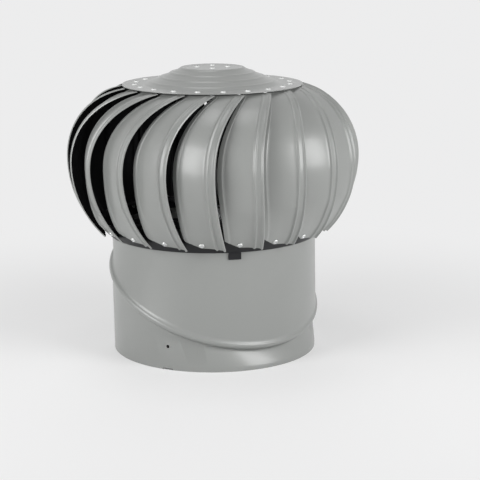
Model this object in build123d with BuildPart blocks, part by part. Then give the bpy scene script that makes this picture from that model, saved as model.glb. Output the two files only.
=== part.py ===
from build123d import *
from math import atan2, cos, degrees, radians, sin
import os

# Wind-driven roof turbine ventilator for a 300 mm throat, in millimetres.
# The origin is the centre of the throat's bottom rim, +Z is up and -Y is the front.
# Azimuths are in degrees from +X towards +Y, so the front is at -90.

# ---- driving dimensions -------------------------------------------------------------------
# throat: two sections that turn on each other at an inclined joint
throat_radius = 150.0          # outside of the collars
throat_wall = 1.0
lower_collar = 8.0             # straight stretch above the bottom rim
lower_short_side = 17.05       # between it and the joint's band, where the joint is lowest
upper_collar = 10.0            # straight stretch below the top rim
upper_short_side = 4.05        # between it and the joint's band, where the joint is highest
top_hem = 2.2                  # thickness of the folded top rim, inwards
top_hem_depth = 5.0
swivel_tilt = 24.0             # the joint's plane leans by this much, so the head leans by up to twice
swivel_azimuth = -54.0         # side where the joint is lowest
swivel_flare = 3.0             # how much wider the lower section is at the joint
swivel_gap = 0.35              # between the two sections
swivel_band = 9.0              # half the height of the round band at the joint
swivel_lip = 7.0               # top of the lower section, above the joint's plane
swivel_skirt = 7.5             # bottom of the upper section's skirt, below it
swivel_bead = 5.0              # how far the bead stands out
swivel_bead_half = 3.6         # half the height of the inner bead
swivel_bead_round = 1.2        # how far the bead's shoulders lie inside its crest

# fixing to the flashing
fixing_count = 3
fixing_hole_radius = 2.4
fixing_height = 34.0
fixing_azimuth = -116.5
notch_width = 16.0             # shallow notch in the bottom rim under each fixing hole
notch_depth = 2.0

# rotor head
vane_count = 20
vane_sheet = 0.8
head_overhang = 64.0           # how far the vanes' edge ribs stand out past the throat
ring_rivet_rise = 3.66         # height of the ring rivets above the throat's top rim
crown_radius = 107.0           # meridian radius of the vanes above the equator
skirt_radius = 150.0           # meridian radius of the vanes below it
vane_azimuth = -89.4           # leading edge of the first vane at the equator
crown_sweep = 19.0             # how far the leading edge sweeps round by the top
crown_sweep_power = 2.4        # a higher power keeps the sweep nearer to the top
skirt_sweep = 5.0              # and by the bottom
skirt_sweep_power = 1.7
crown_angle = 76.0             # meridian angle of the vane where it meets the cap's brim
skirt_angle = -45.0            # meridian angle of the vane's bottom end
vane_width = 60.0              # at the equator
vane_top_width = 46.0
vane_bottom_width = 53.0
foot_cut_angle = 35.0          # the trailing corner is cut off along a line under the rivet
foot_cut_distance = 5.0
vane_drop = 20.0               # how far the trailing edge lies inside the leading edge at the equator
vane_top_drop = 5.0
vane_drop_power = 1.3
vane_bulge = 0.4               # share of the drop that bows the face outwards
vane_landing = 0.55            # share of the foot's width that comes down to the base ring
vane_lift_share = 0.4          # between these shares of the way down, the vane turns onto the ring
vane_seat_share = 0.82
rib_height = 2.0
rib_crown_share = 0.3          # the ribs run out to this share of their height at the crown
roll_crest = 2.0               # crest of the rolled leading edge, from the edge
roll_width = 4.5
rib_inset = 12.5               # second rib, from the leading edge
rib_half = 3.0
hem_width = 7.0
hem_height = 0.6
hem_step = 1.0
tab_width = 22.0               # tab of each vane under the cap's brim
tab_start = 10.0               # the tab is flat from here, in from the brim's edge
tab_end = 28.0

# cap
cap_sheet = 1.0
brim_overhang = 0.1            # of the flat brim, past the vanes' top edge
brim_lift = 2.8                # top of the brim, above the vanes' top edge
brim_width = 32.0
cap_rise = 23.4                # height of the dome above the brim
cap_flat_radius = 44.0         # the middle of the dome is flat
cap_step_count = 4             # steps in the dome's slope
cap_step_start = 2.0           # first step, out from the flat middle
cap_step_end = 9.0             # last step, in from the brim
cap_step_height = 1.2
cap_step_width = 2.5

# rivets
rivet_radius = 2.0
rivet_fit = 0.05               # radial room in the rivet holes
rivet_head_radius = 4.2
rivet_head_height = 1.7
rivet_tail_radius = 3.2
rivet_tail_height = 1.2
cap_rivet_edge = 17.5          # rim rivets, in from the brim's edge
hub_rivet_radius = 22.0
hub_rivet_count = 4
ring_rivet_angle = -42.5       # meridian angle of the ring rivets
ring_rivet_inset = 33.0        # from the leading edge
cap_rivet_inset = 28.0         # rim rivets, from the leading edge
rivet_seat = 0.2               # room under the heads, where the vane's foot is curved

# base ring
ring_sheet = 1.2
ring_standoff = 5.5            # leading edge's height over the vane's foot on the ring
ring_clearance = 1.7           # between the ring's lower edge and the brace tabs on the throat
ring_hang = 6.5                # how far the lower edge hangs below the throat's top rim
ring_seat_down = 6.5           # length of the seat below the rivets
ring_seat_up = 8.0             # and above them
ring_seat_gap = 0.3            # between the seat and the vanes' feet
ring_flange = 14.0             # inward flange at the top

# fixed brace on the throat
brace_count = 3
brace_azimuth = -79.0
brace_width = 18.0
brace_sheet = 1.6
brace_lip = 7.0                # depth of the folded lips of each arm
brace_tab = 18.5               # length of the tab outside the throat
brace_tab_gap = 0.6            # the wall under the collar widens towards the joint
brace_hub_radius = 26.0
brace_lip_start = 30.0
brace_lip_end = 140.0

# spindle and bearings
spindle_radius = 6.0
spindle_stub = 4.0             # threaded end below the lower nut
nut_across_flats = 19.0
nut_height = 6.0
washer_radius = 12.0
washer_height = 1.5
bearing_radius = 16.0
bearing_width = 10.0
bearing_ring = 2.8             # radial thickness of each bearing ring
bearing_fit = 0.05             # running room between the balls and the inner ring
bearing_shield_inset = 1.0
housing_wall = 2.5
housing_lip = 2.0              # floor that holds the bearing in
housing_lip_radius = 13.5
housing_flange_radius = 30.0
housing_flange = 2.0
upper_bearing_depth = 16.0     # bottom of the upper bearing, under the top of the cap
circlip_width = 1.2
circlip_radius = 8.6
circlip_groove = 0.5
spindle_end = 0.6              # above the upper circlip

# rotor spider
spider_count = 4
spider_azimuth = -64.0
spider_width = 14.0
spider_sheet = 2.0
spider_rivet_inset = 7.0       # from the inner edge of the ring's flange
spider_hole_radius = 11.5
spider_hub_rivet_radius = 24.0

cut_reach = 10.0               # how far a cut runs on each side of the sheet it goes through

# ---- derived places -----------------------------------------------------------------------
swivel_radius = throat_radius + swivel_flare        # outside of the lower section at the joint
swivel_reach = swivel_radius * sin(radians(swivel_tilt)) + swivel_band * cos(radians(swivel_tilt))
swivel_height = lower_collar + lower_short_side + swivel_reach     # the joint's plane on the throat's axis
throat_height = swivel_height + swivel_reach + upper_short_side + upper_collar
head_radius = throat_radius + head_overhang
equator_height = throat_height + ring_rivet_rise - skirt_radius * sin(radians(ring_rivet_angle))
lower_meridian = head_radius - rib_height - skirt_radius    # centres of the two meridian arcs
upper_meridian = head_radius - rib_height - crown_radius
vane_pitch = 360 / vane_count


def around(azimuth, radius, height):
    """Point at a radius, azimuth and height."""
    return (radius * cos(radians(azimuth)), radius * sin(radians(azimuth)), height)


def section_plane(azimuth, radius, height, lean):
    """Plane across a meridian: x runs round the axis and y points outwards, raised by lean."""
    east = (-sin(radians(azimuth)), cos(radians(azimuth)), 0)
    down = (
        sin(radians(lean)) * cos(radians(azimuth)),
        sin(radians(lean)) * sin(radians(azimuth)),
        -cos(radians(lean)),
    )
    return Plane(origin=around(azimuth, radius, height), x_dir=east, z_dir=down)


def outward_plane(azimuth, radius, height, lean):
    """Plane whose z points outwards, raised by lean."""
    out = (
        cos(radians(lean)) * cos(radians(azimuth)),
        cos(radians(lean)) * sin(radians(azimuth)),
        sin(radians(lean)),
    )
    east = (-sin(radians(azimuth)), cos(radians(azimuth)), 0)
    return Plane(origin=around(azimuth, radius, height), x_dir=east, z_dir=out)


def meridian(lean):
    """Radius and height of the vanes' leading edge where its outward normal leans by this much."""
    if lean > 0:
        return (
            upper_meridian + crown_radius * cos(radians(lean)),
            equator_height + crown_radius * sin(radians(lean)),
        )
    return (
        lower_meridian + skirt_radius * cos(radians(lean)),
        equator_height + skirt_radius * sin(radians(lean)),
    )


def finish(builder, name):
    """Label a finished piece and write it."""
    builder.part.label = name
    export_step(builder.part, f"parts/{name}.step")


crown_edge_radius, crown_edge_height = meridian(crown_angle)
brim_radius = crown_edge_radius + brim_overhang
brim_height = crown_edge_height + brim_lift
brim_underside = brim_height - cap_sheet
brim_inner_radius = brim_radius - brim_width
cap_rivet_radius = brim_radius - cap_rivet_edge
cap_height = brim_height + cap_rise
upper_bearing_height = cap_height - upper_bearing_depth

os.makedirs("parts", exist_ok=True)

# ---- throat -------------------------------------------------------------------------------
tilt_out = around(swivel_azimuth, sin(radians(swivel_tilt)), cos(radians(swivel_tilt)))
tilt_across = around(swivel_azimuth + 90, 1, 0)
swivel_plane = Plane(origin=(0, 0, swivel_height), x_dir=tilt_across, z_dir=tilt_out)
swivel_axis = Axis((0, 0, swivel_height), tilt_out)
swivel_section = Plane(
    origin=(0, 0, swivel_height), x_dir=tilt_across, z_dir=Vector(*tilt_across).cross(Vector(*tilt_out))
)


def level_plane(height):
    """Level plane with its x along the joint's own x, so that lofts don't twist."""
    return Plane(origin=(0, 0, height), x_dir=tilt_across, z_dir=(0, 0, 1))


inner_bead = swivel_radius + swivel_bead
skirt_bore = swivel_radius + swivel_gap
skirt_outside = skirt_bore + throat_wall

with BuildPart() as throat_lower:
    with BuildSketch(level_plane(0)):
        Circle(throat_radius)
    extrude(amount=lower_collar)
    with BuildSketch(level_plane(lower_collar)):
        Circle(throat_radius)
    with BuildSketch(swivel_plane.offset(-swivel_band)):
        Circle(swivel_radius)
    loft()
    with BuildSketch(level_plane(0)):
        Circle(throat_radius - throat_wall)
    extrude(amount=lower_collar, mode=Mode.SUBTRACT)
    with BuildSketch(level_plane(lower_collar)):
        Circle(throat_radius - throat_wall)
    with BuildSketch(swivel_plane.offset(-swivel_band)):
        Circle(swivel_radius - throat_wall)
    loft(mode=Mode.SUBTRACT)
    # round band with a solid bead that the upper section's skirt wraps
    with BuildSketch(swivel_section):
        with BuildLine():
            Polyline(
                (swivel_radius - throat_wall, -swivel_band),
                (swivel_radius, -swivel_band),
                (swivel_radius, -swivel_bead_half),
                (inner_bead - swivel_bead_round, -swivel_bead_half / 2),
                (inner_bead, 0),
                (inner_bead - swivel_bead_round, swivel_bead_half / 2),
                (swivel_radius, swivel_bead_half),
                (swivel_radius, swivel_lip),
                (swivel_radius - throat_wall, swivel_lip),
                close=True,
            )
        make_face()
    revolve(axis=swivel_axis)
    for turn in range(fixing_count):
        azimuth = fixing_azimuth + 360 / fixing_count * turn
        with BuildSketch(outward_plane(azimuth, throat_radius - cut_reach, fixing_height, 0)):
            Circle(fixing_hole_radius)
        extrude(amount=2 * cut_reach, mode=Mode.SUBTRACT)
        with BuildSketch(outward_plane(azimuth, throat_radius - cut_reach, 0, 0)):
            Rectangle(notch_width, 2 * notch_depth)
        extrude(amount=2 * cut_reach, mode=Mode.SUBTRACT)
finish(throat_lower, "throat_lower")

upper_start = throat_height - upper_collar
bead_in = inner_bead + swivel_gap
bead_out = bead_in + throat_wall
bead_half_in = swivel_bead_half + swivel_gap
bead_half_out = bead_half_in + throat_wall
with BuildPart() as throat_upper:
    with BuildSketch(level_plane(upper_start)):
        Circle(throat_radius)
    extrude(amount=upper_collar)
    with BuildSketch(level_plane(upper_start)):
        Circle(throat_radius)
    with BuildSketch(swivel_plane.offset(swivel_band)):
        Circle(skirt_outside)
    loft()
    # skirt whose formed bead turns on the lower section's bead
    with BuildSketch(swivel_section):
        with BuildLine():
            Polyline(
                (0, -swivel_skirt),
                (skirt_outside, -swivel_skirt),
                (skirt_outside, -bead_half_out),
                (bead_out - swivel_bead_round, -bead_half_out / 2),
                (bead_out, 0),
                (bead_out - swivel_bead_round, bead_half_out / 2),
                (skirt_outside, bead_half_out),
                (skirt_outside, swivel_band),
                (0, swivel_band),
                close=True,
            )
        make_face()
    revolve(axis=swivel_axis)
    # the inside follows at the sheet's thickness, narrower at the folded top rim
    with BuildSketch(level_plane(upper_start)):
        Circle(throat_radius - throat_wall)
    extrude(amount=upper_collar - top_hem_depth, mode=Mode.SUBTRACT)
    with BuildSketch(level_plane(throat_height - top_hem_depth)):
        Circle(throat_radius - top_hem)
    extrude(amount=top_hem_depth, mode=Mode.SUBTRACT)
    with BuildSketch(level_plane(upper_start)):
        Circle(throat_radius - throat_wall)
    with BuildSketch(swivel_plane.offset(swivel_band)):
        Circle(skirt_bore)
    loft(mode=Mode.SUBTRACT)
    with BuildSketch(swivel_section):
        with BuildLine():
            Polyline(
                (0, -swivel_skirt),
                (skirt_bore, -swivel_skirt),
                (skirt_bore, -bead_half_in),
                (bead_in - swivel_bead_round, -bead_half_in / 2),
                (bead_in, 0),
                (bead_in - swivel_bead_round, bead_half_in / 2),
                (skirt_bore, bead_half_in),
                (skirt_bore, swivel_band),
                (0, swivel_band),
                close=True,
            )
        make_face()
    revolve(axis=swivel_axis, mode=Mode.SUBTRACT)
finish(throat_upper, "throat_upper")


# ---- rivets -------------------------------------------------------------------------------


def make_rivet(grip):
    """Rivet through a stack of sheets: its head sits on z = 0 and its tail closes below the grip."""
    with BuildPart() as rivet:
        with BuildSketch(Plane.XZ):
            with BuildLine():
                rim = Line((0, rivet_head_height), (0, 0))
                tail = Polyline(
                    (0, -grip - rivet_tail_height),
                    (rivet_tail_radius, -grip - rivet_tail_height),
                    (rivet_tail_radius, -grip),
                    (rivet_radius, -grip),
                    (rivet_radius, 0),
                    (rivet_head_radius, 0),
                )
                Line(rim @ 1, tail @ 0)
                RadiusArc(
                    (rivet_head_radius, 0),
                    (0, rivet_head_height),
                    -(rivet_head_radius**2 + rivet_head_height**2) / (2 * rivet_head_height),
                )
            make_face()
        revolve(axis=Axis.Z)
    return rivet.part


# ---- vanes --------------------------------------------------------------------------------


def vane_span(lean):
    """Width of a vane and the sweep of its leading edge, at a meridian angle."""
    if lean > 0:
        share = lean / crown_angle
        return vane_width - (vane_width - vane_top_width) * share**2, crown_sweep * share**crown_sweep_power
    share = lean / skirt_angle
    return vane_width - (vane_width - vane_bottom_width) * share**2, skirt_sweep * share**skirt_sweep_power


def vane_fall(lean):
    """How far the trailing edge lies inside the leading edge, and how far the vane is seated."""
    if lean > 0:
        blend = cos(radians(90 * lean / crown_angle)) ** vane_drop_power
        return vane_top_drop + (vane_drop - vane_top_drop) * blend, 0
    share = lean / skirt_angle
    blend = cos(radians(90 * min(1, share / vane_seat_share))) ** vane_drop_power
    seated = min(1, max(0, (share - vane_lift_share) / (vane_seat_share - vane_lift_share)))
    return ring_standoff + (vane_drop - ring_standoff) * blend, seated


def vane_points(lean, rib=rib_height, hem=hem_height):
    """Corners of a vane's closed section, from the leading edge (x > 0) to the hem and back inside."""
    width = vane_span(lean)[0]
    drop, seated = vane_fall(lean)
    radius = meridian(lean)[0]
    half = vane_sheet / 2

    def point(inset, offset):
        across = width / 2 - inset
        share = inset / width
        bowed = share - vane_bulge * share * (1 - share)
        landed = sin(radians(90 * min(1, share / vane_landing)))
        round_axis = -(across**2) * cos(radians(lean)) / (2 * radius)
        return (across, round_axis - drop * ((1 - seated) * bowed + seated * landed) + offset)

    rib_start = rib_inset - rib_half
    face_start = rib_inset + rib_half
    face_end = width - hem_width
    face_insets = [face_start + (face_end - face_start) / 3 * step for step in range(4)]
    return {
        "roll": [point(0, half), point(roll_crest, half + rib), point(roll_width, half)],
        "flat": [point(roll_width, half), point(rib_start, half)],
        "rib": [point(rib_start, half), point(rib_inset, half + rib), point(face_start, half)],
        "face": [point(inset, half) for inset in face_insets],
        "hem": [point(face_end, half), point(face_end + hem_step, half + hem), point(width, half + hem)],
        "inside": [point(inset, -half) for inset in [width] + face_insets[::-1]],
        "root": [point(face_start, -half), point(0, -half)],
    }


def sheet_points(lean):
    """Top and bottom lines of a vane's plain sheet, without its ribs and hem."""
    corners = vane_points(lean, 0, 0)
    top = [corners["roll"][0], corners["face"][0], corners["face"][-1], corners["hem"][-1]]
    return top, [(x, y - vane_sheet) for x, y in top]


def tab_points():
    """Top and bottom lines of the flat tab."""
    half = vane_sheet / 2
    across = [tab_width / 2 - tab_width / 3 * step for step in range(4)]
    return [(x, half) for x in across], [(x, -half) for x in across]


def middle_azimuth(lean, azimuth):
    """Azimuth of the middle of a vane's section whose leading edge passes the equator at an azimuth."""
    width, sweep = vane_span(lean)
    return azimuth + sweep - degrees(atan2(width / 2, meridian(lean)[0]))


def leading_plane(lean, azimuth):
    """Plane of that section."""
    radius, height = meridian(lean)
    return section_plane(middle_azimuth(lean, azimuth), radius, height, lean)


def offset_azimuth(lean, azimuth, inset):
    """Azimuth of the line on a vane that lies a distance back from its leading edge."""
    across = vane_span(lean)[0] / 2 - inset
    return middle_azimuth(lean, azimuth) + degrees(atan2(across, meridian(lean)[0]))


below_equator = (-40, -37, -33, -28, -20, -10)
above_equator = (13, 26, 39, 52, 65)
vane_angles = (skirt_angle, ring_rivet_angle, *below_equator, 0, *above_equator, crown_angle)
tab_azimuth = offset_azimuth(crown_angle, vane_azimuth, cap_rivet_inset)
tab_height = brim_underside - vane_sheet / 2
main_sections = [(leading_plane(lean, vane_azimuth), vane_points(lean)) for lean in vane_angles[:-1]]
crown_points = vane_points(crown_angle, rib_height * rib_crown_share)
main_sections.append((leading_plane(crown_angle, vane_azimuth), crown_points))
tab_sections = [(leading_plane(crown_angle, vane_azimuth), sheet_points(crown_angle))]
for tab_radius in (brim_radius - tab_start, brim_radius - tab_end):
    tab_sections.append((section_plane(tab_azimuth, tab_radius, tab_height, 90), tab_points()))

# the vane's foot lies on the base ring's seat, whose line runs parallel to it
waist_radius, waist_height = meridian(ring_rivet_angle)
seat_lean = radians(ring_rivet_angle)
seat_depth = ring_standoff + vane_sheet / 2 + ring_seat_gap
seat_radius = waist_radius - seat_depth * cos(seat_lean)
seat_height = waist_height - seat_depth * sin(seat_lean)
foot_azimuth = offset_azimuth(ring_rivet_angle, vane_azimuth, ring_rivet_inset)
head_seat = vane_sheet + ring_seat_gap + rivet_seat
ring_rivet_grip = head_seat + ring_sheet + rivet_seat


def ring_rivet_plane(azimuth, depth):
    """Plane of a ring rivet, at a distance outside the ring's seat."""
    return outward_plane(
        azimuth, seat_radius + depth * cos(seat_lean), seat_height + depth * sin(seat_lean), ring_rivet_angle
    )


with BuildPart() as vane_blank:
    for plane, corners in main_sections:
        with BuildSketch(plane):
            with BuildLine():
                Spline(*corners["roll"])
                Polyline(*corners["flat"])
                Spline(*corners["rib"])
                Spline(*corners["face"])
                Polyline(*corners["hem"])
                Line(corners["hem"][-1], corners["inside"][0])
                Line(corners["inside"][0], corners["inside"][1])
                Spline(*corners["inside"][1:])
                Polyline(*corners["root"])
                Line(corners["root"][-1], corners["roll"][0])
            make_face()
    loft()
    for plane, (top, bottom) in tab_sections:
        with BuildSketch(plane):
            with BuildLine():
                Spline(*top)
                Line(top[-1], bottom[-1])
                Spline(*bottom[::-1])
                Line(bottom[0], top[0])
            make_face()
    loft(ruled=True)
    for plane in (
        ring_rivet_plane(foot_azimuth, -cut_reach),
        outward_plane(tab_azimuth, cap_rivet_radius, tab_height - cut_reach, 90),
    ):
        with BuildSketch(plane):
            Circle(rivet_radius + rivet_fit)
        extrude(amount=2 * cut_reach, mode=Mode.SUBTRACT)
    with BuildSketch(ring_rivet_plane(foot_azimuth, -cut_reach)):
        with Locations(Rotation(0, 0, -foot_cut_angle)):
            with Locations((0, -foot_cut_distance)):
                Rectangle(4 * vane_width, vane_width, align=(Align.CENTER, Align.MAX))
    extrude(amount=2 * cut_reach, mode=Mode.SUBTRACT)

for index in range(vane_count):
    with BuildPart() as vane:
        with Locations(Rotation(0, 0, vane_pitch * index)):
            add(vane_blank.part)
    finish(vane, f"vane_{index + 1:02d}")

# ---- base ring of the rotor ---------------------------------------------------------------
seat_line = (-sin(seat_lean), cos(seat_lean))
seat_low = (seat_radius - ring_seat_down * seat_line[0], seat_height - ring_seat_down * seat_line[1])
seat_high = (seat_radius + ring_seat_up * seat_line[0], seat_height + ring_seat_up * seat_line[1])
tab_inner = throat_radius + brace_tab_gap
tab_outer = tab_inner + brace_sheet
ring_low = (tab_outer + ring_clearance, throat_height - ring_hang)
ring_inner_radius = seat_high[0] - ring_flange
spider_rivet_radius = ring_inner_radius + spider_rivet_inset
with BuildPart() as base_ring:
    with BuildSketch(Plane.XZ):
        with BuildLine():
            Polyline(ring_low, seat_low, seat_high, (ring_inner_radius, seat_high[1]))
            offset(amount=ring_sheet, side=Side.LEFT)
        make_face()
    revolve(axis=Axis.Z)
    for index in range(vane_count):
        with BuildSketch(ring_rivet_plane(foot_azimuth + vane_pitch * index, -cut_reach)):
            Circle(rivet_radius + rivet_fit)
        extrude(amount=2 * cut_reach, mode=Mode.SUBTRACT)
    with BuildSketch(Plane.XY.offset(seat_high[1] - ring_sheet)):
        with PolarLocations(spider_rivet_radius, spider_count, start_angle=spider_azimuth):
            Circle(rivet_radius + rivet_fit)
    extrude(amount=ring_sheet, mode=Mode.SUBTRACT)
finish(base_ring, "base_ring")

ring_rivet = make_rivet(ring_rivet_grip)
with BuildPart() as ring_rivets:
    for index in range(vane_count):
        with Locations(ring_rivet_plane(foot_azimuth + vane_pitch * index, head_seat)):
            add(ring_rivet)
finish(ring_rivets, "ring_rivets")

# ---- cap ----------------------------------------------------------------------------------


def dome_height(radius):
    """Height of the dome's slope between the flat middle and the brim."""
    share = (radius - cap_flat_radius) / (brim_inner_radius - cap_flat_radius)
    return cap_height - (cap_height - brim_height) * share


dome_line = [(0, cap_height), (cap_flat_radius, cap_height)]
step_pitch = (brim_inner_radius - cap_flat_radius - cap_step_start - cap_step_end) / (cap_step_count - 1)
for step in range(cap_step_count):
    step_radius = cap_flat_radius + cap_step_start + step_pitch * step
    dome_line.append((step_radius, dome_height(step_radius) + cap_step_height))
    dome_line.append((step_radius + cap_step_width, dome_height(step_radius + cap_step_width)))
dome_line += [(brim_inner_radius, brim_height), (brim_radius, brim_height)]

with BuildPart() as cap:
    with BuildSketch(Plane.XZ):
        with BuildLine():
            Polyline(
                *dome_line,
                (brim_radius, brim_underside),
                (brim_inner_radius - cap_sheet, brim_underside),
                (cap_flat_radius, cap_height - cap_sheet),
                (0, cap_height - cap_sheet),
                close=True,
            )
        make_face()
    revolve(axis=Axis.Z)
    with BuildSketch(Plane.XY.offset(brim_underside)):
        with PolarLocations(cap_rivet_radius, vane_count, start_angle=tab_azimuth):
            Circle(rivet_radius + rivet_fit)
    extrude(amount=cap_sheet, mode=Mode.SUBTRACT)
    with BuildSketch(Plane.XY.offset(cap_height - cap_sheet)):
        with PolarLocations(hub_rivet_radius, hub_rivet_count):
            Circle(rivet_radius + rivet_fit)
    extrude(amount=cap_sheet, mode=Mode.SUBTRACT)
finish(cap, "cap")

cap_rivet = make_rivet(cap_sheet + vane_sheet)
with BuildPart() as cap_rivets:
    with Locations((0, 0, brim_height)):
        with PolarLocations(cap_rivet_radius, vane_count, start_angle=tab_azimuth):
            add(cap_rivet)
finish(cap_rivets, "cap_rivets")

# ---- bearings and their housings ----------------------------------------------------------
housing_radius = bearing_radius + housing_wall
inner_ring_radius = spindle_radius + bearing_ring
outer_ring_bore = bearing_radius - bearing_ring
spider_height = seat_high[1]
lower_bearing_height = spider_height + spider_sheet
bearings = {"lower_bearing": lower_bearing_height, "upper_bearing": upper_bearing_height}
for name, bottom in bearings.items():
    with BuildPart() as inner_ring:
        with BuildSketch(Plane.XY.offset(bottom)):
            Circle(inner_ring_radius)
            Circle(spindle_radius, mode=Mode.SUBTRACT)
        extrude(amount=bearing_width)
    finish(inner_ring, f"{name}_inner_ring")
    with BuildPart() as outer_ring:
        with BuildSketch(Plane.XY.offset(bottom)):
            Circle(bearing_radius)
            Circle(outer_ring_bore, mode=Mode.SUBTRACT)
        extrude(amount=bearing_width)
    finish(outer_ring, f"{name}_outer_ring")
    # the balls, cage and shields turn as one plain ring between the races
    with BuildPart() as ball_set:
        with BuildSketch(Plane.XY.offset(bottom + bearing_shield_inset)):
            Circle(outer_ring_bore)
            Circle(inner_ring_radius + bearing_fit, mode=Mode.SUBTRACT)
        extrude(amount=bearing_width - 2 * bearing_shield_inset)
    finish(ball_set, f"{name}_ball_set")

housing_top = cap_height - cap_sheet
with BuildPart() as upper_housing:
    with BuildSketch(Plane.XY.offset(housing_top - housing_flange)):
        Circle(housing_flange_radius)
        with PolarLocations(hub_rivet_radius, hub_rivet_count):
            Circle(rivet_radius + rivet_fit, mode=Mode.SUBTRACT)
    extrude(amount=housing_flange)
    with BuildSketch(Plane.XY.offset(upper_bearing_height)):
        Circle(housing_radius)
    extrude(amount=housing_top - housing_flange - upper_bearing_height)
    with BuildSketch(Plane.XY.offset(upper_bearing_height)):
        Circle(bearing_radius)
    extrude(amount=bearing_width, mode=Mode.SUBTRACT)
    with BuildSketch(Plane.XY.offset(upper_bearing_height)):
        Circle(housing_lip_radius)
    extrude(amount=housing_top - upper_bearing_height, mode=Mode.SUBTRACT)
finish(upper_housing, "upper_bearing_housing")

hub_rivet = make_rivet(cap_sheet + housing_flange)
with BuildPart() as hub_rivets:
    with Locations((0, 0, cap_height)):
        with PolarLocations(hub_rivet_radius, hub_rivet_count):
            add(hub_rivet)
finish(hub_rivets, "hub_rivets")

with BuildPart() as lower_housing:
    with BuildSketch(Plane.XY.offset(lower_bearing_height)):
        Circle(housing_flange_radius)
        with PolarLocations(spider_hub_rivet_radius, spider_count, start_angle=spider_azimuth + 45):
            Circle(rivet_radius + rivet_fit, mode=Mode.SUBTRACT)
    extrude(amount=housing_flange)
    with BuildSketch(Plane.XY.offset(lower_bearing_height)):
        Circle(housing_radius)
    extrude(amount=bearing_width + housing_lip)
    with BuildSketch(Plane.XY.offset(lower_bearing_height)):
        Circle(bearing_radius)
    extrude(amount=bearing_width, mode=Mode.SUBTRACT)
    with BuildSketch(Plane.XY.offset(lower_bearing_height)):
        Circle(housing_lip_radius)
    extrude(amount=bearing_width + housing_lip, mode=Mode.SUBTRACT)
finish(lower_housing, "lower_bearing_housing")

# ---- rotor spider: four arms from the lower bearing to the base ring's flange ------------------
spider_outer = seat_high[0] - ring_sheet
with BuildPart() as spider:
    with BuildSketch(Plane.XY.offset(spider_height)):
        with PolarLocations(0, spider_count, start_angle=spider_azimuth):
            Rectangle(spider_outer + spider_width, spider_width, align=(Align.MIN, Align.CENTER))
        Circle(housing_flange_radius)
        Circle(spider_outer, mode=Mode.INTERSECT)
        Circle(spider_hole_radius, mode=Mode.SUBTRACT)
        with PolarLocations(spider_hub_rivet_radius, spider_count, start_angle=spider_azimuth + 45):
            Circle(rivet_radius + rivet_fit, mode=Mode.SUBTRACT)
        with PolarLocations(spider_rivet_radius, spider_count, start_angle=spider_azimuth):
            Circle(rivet_radius + rivet_fit, mode=Mode.SUBTRACT)
    extrude(amount=spider_sheet)
finish(spider, "rotor_spider")

spider_hub_rivet = make_rivet(spider_sheet + housing_flange)
with BuildPart() as spider_hub_rivets:
    with Locations((0, 0, lower_bearing_height + housing_flange)):
        with PolarLocations(spider_hub_rivet_radius, spider_count, start_angle=spider_azimuth + 45):
            add(spider_hub_rivet)
finish(spider_hub_rivets, "spider_hub_rivets")

spider_rivet = make_rivet(ring_sheet + spider_sheet)
with BuildPart() as spider_rivets:
    with Locations((0, 0, spider_height + spider_sheet)):
        with PolarLocations(spider_rivet_radius, spider_count, start_angle=spider_azimuth):
            add(spider_rivet)
finish(spider_rivets, "spider_rivets")

# ---- fixed brace on the throat's top rim --------------------------------------------------
brace_top = throat_height + brace_sheet
with BuildPart() as brace:
    with BuildSketch(Plane.XY.offset(throat_height)):
        with PolarLocations(0, brace_count, start_angle=brace_azimuth):
            Rectangle(tab_outer + brace_width, brace_width, align=(Align.MIN, Align.CENTER))
        Circle(brace_hub_radius)
        Circle(tab_outer, mode=Mode.INTERSECT)
        Circle(spindle_radius, mode=Mode.SUBTRACT)
    extrude(amount=brace_sheet)
    with BuildSketch(Plane.XY.offset(brace_top - brace_tab)):
        with PolarLocations(0, brace_count, start_angle=brace_azimuth):
            Rectangle(tab_outer + brace_width, brace_width, align=(Align.MIN, Align.CENTER))
        Circle(tab_outer, mode=Mode.INTERSECT)
        Circle(tab_inner, mode=Mode.SUBTRACT)
    extrude(amount=brace_tab)
    # folded lips that stiffen each arm
    with BuildSketch(Plane.XY.offset(throat_height - brace_lip)):
        with PolarLocations((brace_lip_start + brace_lip_end) / 2, brace_count, start_angle=brace_azimuth):
            Rectangle(brace_lip_end - brace_lip_start, brace_width)
            Rectangle(brace_lip_end - brace_lip_start, brace_width - 2 * brace_sheet, mode=Mode.SUBTRACT)
    extrude(amount=brace_lip)
finish(brace, "throat_brace")

# ---- spindle ------------------------------------------------------------------------------
lower_nut_bottom = throat_height - washer_height - nut_height
upper_nut_bottom = brace_top + washer_height
circlip_heights = (upper_bearing_height - circlip_width, upper_bearing_height + bearing_width)
spindle_top = circlip_heights[1] + circlip_width + spindle_end
with BuildPart() as spindle:
    with BuildSketch(Plane.XY.offset(lower_nut_bottom - spindle_stub)):
        Circle(spindle_radius)
    extrude(amount=spindle_top - lower_nut_bottom + spindle_stub)
    for height in circlip_heights:
        with BuildSketch(Plane.XY.offset(height)):
            Circle(spindle_radius)
            Circle(spindle_radius - circlip_groove, mode=Mode.SUBTRACT)
        extrude(amount=circlip_width, mode=Mode.SUBTRACT)
finish(spindle, "spindle")

with BuildPart() as spindle_nuts:
    for height in (lower_nut_bottom, upper_nut_bottom):
        with BuildSketch(Plane.XY.offset(height)):
            RegularPolygon(nut_across_flats / 2, 6, major_radius=False)
            Circle(spindle_radius, mode=Mode.SUBTRACT)
        extrude(amount=nut_height)
finish(spindle_nuts, "spindle_nuts")

with BuildPart() as spindle_washers:
    for height in (throat_height - washer_height, brace_top):
        with BuildSketch(Plane.XY.offset(height)):
            Circle(washer_radius)
            Circle(spindle_radius, mode=Mode.SUBTRACT)
        extrude(amount=washer_height)
finish(spindle_washers, "spindle_washers")

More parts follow.
